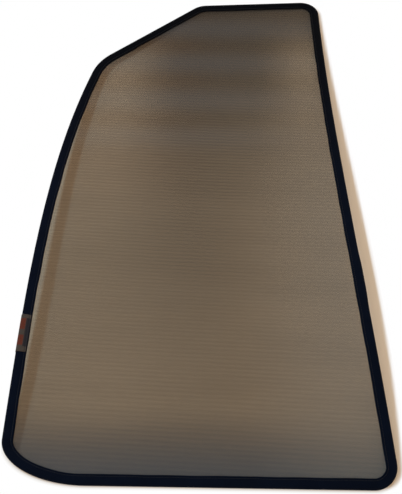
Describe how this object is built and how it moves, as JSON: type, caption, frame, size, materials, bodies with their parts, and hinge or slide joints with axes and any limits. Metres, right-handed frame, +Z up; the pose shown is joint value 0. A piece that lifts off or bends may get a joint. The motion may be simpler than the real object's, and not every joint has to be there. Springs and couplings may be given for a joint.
{
  "type": "car side window sunshade",
  "caption": "Bowed five-sided sunshade of see-through black mesh for a car's front side window, bound with a folded tape over a sprung wire ring.",
  "frame": {"origin": "under the middle of the shade, on the surface that it lies on", "axes": "+X across towards the belt line, +Y along from the pillar edge to the nose, +Z up, out of the side that goes against the glass"},
  "size_m": [0.449, 0.7982, 0.0282],
  "materials": {
    "mesh": "matt black see-through knitted mesh",
    "tape": "soft blue-black woven tape",
    "spring_steel": "drawn spring steel wire",
    "ferrule_steel": "zinc plated and crimped",
    "label": "woven grey-brown label with plain orange-red bars"
  },
  "bodies": {
    "root": {"mesh_panel": "mesh", "edge_binding": "tape", "frame_wire": "spring_steel", "wire_ferrule": "ferrule_steel", "label_tag": "label"}
  },
  "joints": []
}
